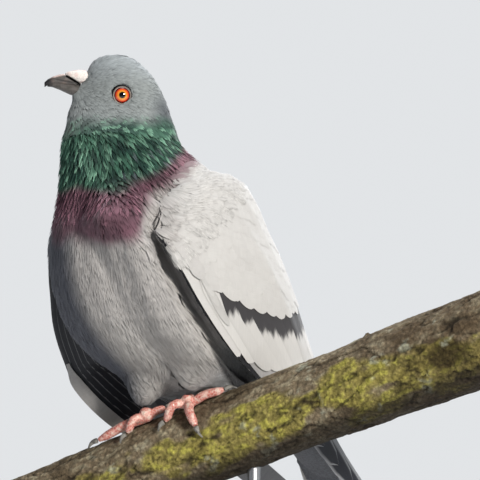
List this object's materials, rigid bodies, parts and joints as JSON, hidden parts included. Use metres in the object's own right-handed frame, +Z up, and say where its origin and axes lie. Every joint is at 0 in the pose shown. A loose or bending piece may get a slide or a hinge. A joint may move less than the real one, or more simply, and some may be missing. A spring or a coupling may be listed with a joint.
{
  "type": "pigeon",
  "caption": "Life-size model of a blue-bar feral pigeon perched across a cut piece of branch, its head turned and raised, held on a round display base by rods.",
  "frame": {"origin": "centre of the underside of the stand's base", "axes": "+Z up, -Y the way the bird's body faces, +X the bird's left"},
  "size_m": [0.2553, 0.2193, 0.2808],
  "materials": {
    "slate_feathers": "fine matte slate-grey feathers",
    "neck_feathers": "glossy green and purple iridescent feathers",
    "body_feathers": "soft matte grey contour feathers",
    "wing_coverts": "smooth pale grey coverts with charcoal bars",
    "flight_feathers": "grey flight feathers with darker vanes",
    "tail_feathers": "grey tail feathers with a dark end band",
    "bill": "dark satin horn",
    "cere": "powdery white swelling",
    "eye": "wet glossy eye with an orange iris",
    "bare_skin": "scaly pink-red skin",
    "claw": "dark satin horn",
    "bark": "rough bark with lichen",
    "stand_wood": "dark satin-varnished wood",
    "stand_steel": "plain satin steel"
  },
  "bodies": {
    "root": {"head": "slate_feathers", "neck": "neck_feathers", "trunk": "body_feathers", "thigh_left": "body_feathers", "thigh_right": "body_feathers", "wing_left": "wing_coverts", "wing_right": "wing_coverts", "wing_tip_left": "flight_feathers", "wing_tip_right": "flight_feathers", "tail": "tail_feathers", "bill_upper": "bill", "bill_lower": "bill", "cere": "cere", "eye_left": "eye", "eye_right": "eye", "foot_left": "bare_skin", "foot_right": "bare_skin", "claw_left_inner": "claw", "claw_left_middle": "claw", "claw_left_outer": "claw", "claw_left_hind": "claw", "claw_right_inner": "claw", "claw_right_middle": "claw", "claw_right_outer": "claw", "claw_right_hind": "claw", "perch": "bark", "stand_base": "stand_wood", "stand_rod_low": "stand_steel", "stand_rod_high": "stand_steel"}
  },
  "joints": []
}
